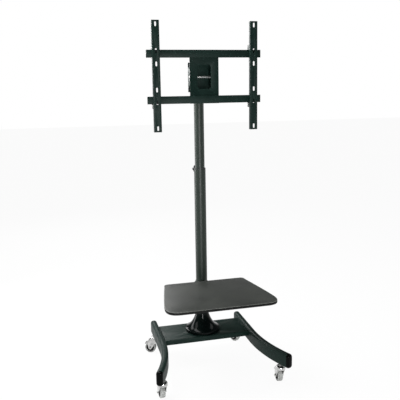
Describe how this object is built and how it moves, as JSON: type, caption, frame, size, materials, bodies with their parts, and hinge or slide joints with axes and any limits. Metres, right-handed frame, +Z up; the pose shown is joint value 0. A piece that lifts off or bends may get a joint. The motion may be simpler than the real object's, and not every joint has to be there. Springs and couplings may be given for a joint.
{
  "type": "mobile tv stand",
  "caption": "Rolling floor stand for a flat screen: telescopic round mast, shelf, tilting screen bracket and a low base with curved legs on swivel casters.",
  "frame": {"origin": "on the floor, at the middle of the stand's footprint", "axes": "+Z up along the mast, -Y to the front where the screen faces, +X to the right seen from behind the stand"},
  "size_m": [0.5576, 0.5318, 1.4676],
  "materials": {
    "frame_paint": "satin black powder coat on steel",
    "gloss_black": "glossy moulded plastic",
    "black_plastic": "fine moulded grain",
    "shelf_black": "board with a satin black laminate",
    "nylon": "plain nylon",
    "chrome": "bright chrome plate on steel",
    "zinc": "bright zinc plate on steel",
    "grey_rubber": "grey non-marking tread"
  },
  "bodies": {
    "base": {"base_tray": "frame_paint", "leg_left": "frame_paint", "leg_right": "frame_paint", "leg_cap_rear_left": "gloss_black", "leg_cap_front_left": "gloss_black", "leg_cap_rear_right": "gloss_black", "leg_cap_front_right": "gloss_black", "mast_foot": "frame_paint", "foot_bolt_1": "zinc", "foot_bolt_2": "zinc", "foot_bolt_3": "zinc", "foot_bolt_4": "zinc", "base_cover": "gloss_black", "mast_lower": "frame_paint", "mast_bush": "nylon", "height_collar": "black_plastic", "caster_stem_front_left": "zinc", "caster_stem_front_right": "zinc", "caster_stem_rear_left": "zinc", "caster_stem_rear_right": "zinc"},
    "height_knob": {"height_knob": "black_plastic"},
    "mast_slide": {"mast_glide": "nylon"},
    "mast_upper": {"mast_upper": "frame_paint", "mast_cap": "black_plastic", "tilt_yoke": "frame_paint", "head_screw_1": "zinc", "head_screw_2": "zinc", "tilt_bolt": "zinc"},
    "tilt_knob": {"tilt_knob": "black_plastic"},
    "tilt_frame": {"tilt_frame": "frame_paint"},
    "screen_arm_left": {"screen_arm_left": "frame_paint", "arm_screw_left": "zinc"},
    "screen_arm_right": {"screen_arm_right": "frame_paint", "arm_screw_right": "zinc"},
    "shelf": {"shelf_board": "shelf_black", "shelf_bracket": "frame_paint"},
    "shelf_knob": {"shelf_knob": "black_plastic"},
    "fork_front_left": {"caster_fork_front_left": "chrome", "caster_axle_front_left": "zinc"},
    "wheel_front_left": {"caster_hub_front_left": "black_plastic", "caster_tyre_front_left": "grey_rubber"},
    "brake_front_left": {"caster_brake_front_left": "chrome"},
    "fork_front_right": {"caster_fork_front_right": "chrome", "caster_axle_front_right": "zinc"},
    "wheel_front_right": {"caster_hub_front_right": "black_plastic", "caster_tyre_front_right": "grey_rubber"},
    "brake_front_right": {"caster_brake_front_right": "chrome"},
    "fork_rear_left": {"caster_fork_rear_left": "chrome", "caster_axle_rear_left": "zinc"},
    "wheel_rear_left": {"caster_hub_rear_left": "black_plastic", "caster_tyre_rear_left": "grey_rubber"},
    "brake_rear_left": {"caster_brake_rear_left": "chrome"},
    "fork_rear_right": {"caster_fork_rear_right": "chrome", "caster_axle_rear_right": "zinc"},
    "wheel_rear_right": {"caster_hub_rear_right": "black_plastic", "caster_tyre_rear_right": "grey_rubber"},
    "brake_rear_right": {"caster_brake_rear_right": "chrome"}
  },
  "joints": [
    {"name": "height_knob_turn", "type": "hinge", "parent": "base", "child": "height_knob", "pos_m": [0, 0.16087, 0.8597], "axis": [0, 1, 0], "range_deg": [0, 360]},
    {"name": "mast_height", "type": "slide", "parent": "base", "child": "mast_slide", "axis": [0, 0, 1], "range_m": [-0.3, 0.12]},
    {"name": "mast_turn", "type": "hinge", "parent": "mast_slide", "child": "mast_upper", "pos_m": [0, 0.11908, 0.95], "axis": [0, 0, 1], "range_deg": [-90, 90]},
    {"name": "tilt_knob_turn", "type": "hinge", "parent": "mast_upper", "child": "tilt_knob", "pos_m": [0, 0.04807, 1.2526], "axis": [1, 0, 0], "range_deg": [0, 360]},
    {"name": "screen_tilt", "type": "hinge", "parent": "mast_upper", "child": "tilt_frame", "pos_m": [0, 0.04807, 1.2526], "axis": [1, 0, 0], "range_deg": [-5, 15]},
    {"name": "arm_left_slide", "type": "slide", "parent": "tilt_frame", "child": "screen_arm_left", "axis": [1, 0, 0], "range_m": [-0.02, 0.1]},
    {"name": "arm_right_slide", "type": "slide", "parent": "tilt_frame", "child": "screen_arm_right", "axis": [1, 0, 0], "range_m": [-0.1, 0.02]},
    {"name": "shelf_height", "type": "slide", "parent": "base", "child": "shelf", "axis": [0, 0, 1], "range_m": [-0.07, 0.33]},
    {"name": "shelf_knob_turn", "type": "hinge", "parent": "shelf", "child": "shelf_knob", "pos_m": [0, 0.16028, 0.3344], "axis": [0, 1, 0], "range_deg": [0, 360]},
    {"name": "swivel_front_left", "type": "hinge", "parent": "base", "child": "fork_front_left", "pos_m": [-0.24735, -0.21224, 0.07], "axis": [0, 0, 1], "continuous": true},
    {"name": "spin_front_left", "type": "hinge", "parent": "fork_front_left", "child": "wheel_front_left", "pos_m": [-0.24888, -0.19029, 0.02469], "axis": [0.9976, 0.0698, 0], "continuous": true},
    {"name": "brake_front_left", "type": "hinge", "parent": "fork_front_left", "child": "brake_front_left", "pos_m": [-0.24941, -0.18267, 0.05319], "axis": [0.9976, 0.0698, 0], "range_deg": [-8, 0]},
    {"name": "swivel_front_right", "type": "hinge", "parent": "base", "child": "fork_front_right", "pos_m": [0.24735, -0.21224, 0.07], "axis": [0, 0, 1], "continuous": true},
    {"name": "spin_front_right", "type": "hinge", "parent": "fork_front_right", "child": "wheel_front_right", "pos_m": [0.24888, -0.19029, 0.02469], "axis": [0.9976, -0.0698, 0], "continuous": true},
    {"name": "brake_front_right", "type": "hinge", "parent": "fork_front_right", "child": "brake_front_right", "pos_m": [0.24941, -0.18267, 0.05319], "axis": [0.9976, -0.0698, 0], "range_deg": [-8, 0]},
    {"name": "swivel_rear_left", "type": "hinge", "parent": "base", "child": "fork_rear_left", "pos_m": [-0.2035, 0.21907, 0.07], "axis": [0, 0, 1], "continuous": true},
    {"name": "spin_rear_left", "type": "hinge", "parent": "fork_rear_left", "child": "wheel_rear_left", "pos_m": [-0.2236, 0.22802, 0.02469], "axis": [0.4067, 0.9135, 0], "continuous": true},
    {"name": "brake_rear_left", "type": "hinge", "parent": "fork_rear_left", "child": "brake_rear_left", "pos_m": [-0.23057, 0.23113, 0.05319], "axis": [0.4067, 0.9135, 0], "range_deg": [-8, 0]},
    {"name": "swivel_rear_right", "type": "hinge", "parent": "base", "child": "fork_rear_right", "pos_m": [0.2035, 0.21907, 0.07], "axis": [0, 0, 1], "continuous": true},
    {"name": "spin_rear_right", "type": "hinge", "parent": "fork_rear_right", "child": "wheel_rear_right", "pos_m": [0.1912, 0.23731, 0.02469], "axis": [0.829, 0.5592, 0], "continuous": true},
    {"name": "brake_rear_right", "type": "hinge", "parent": "fork_rear_right", "child": "brake_rear_right", "pos_m": [0.18693, 0.24364, 0.05319], "axis": [0.829, 0.5592, 0], "range_deg": [-8, 0]}
  ]
}
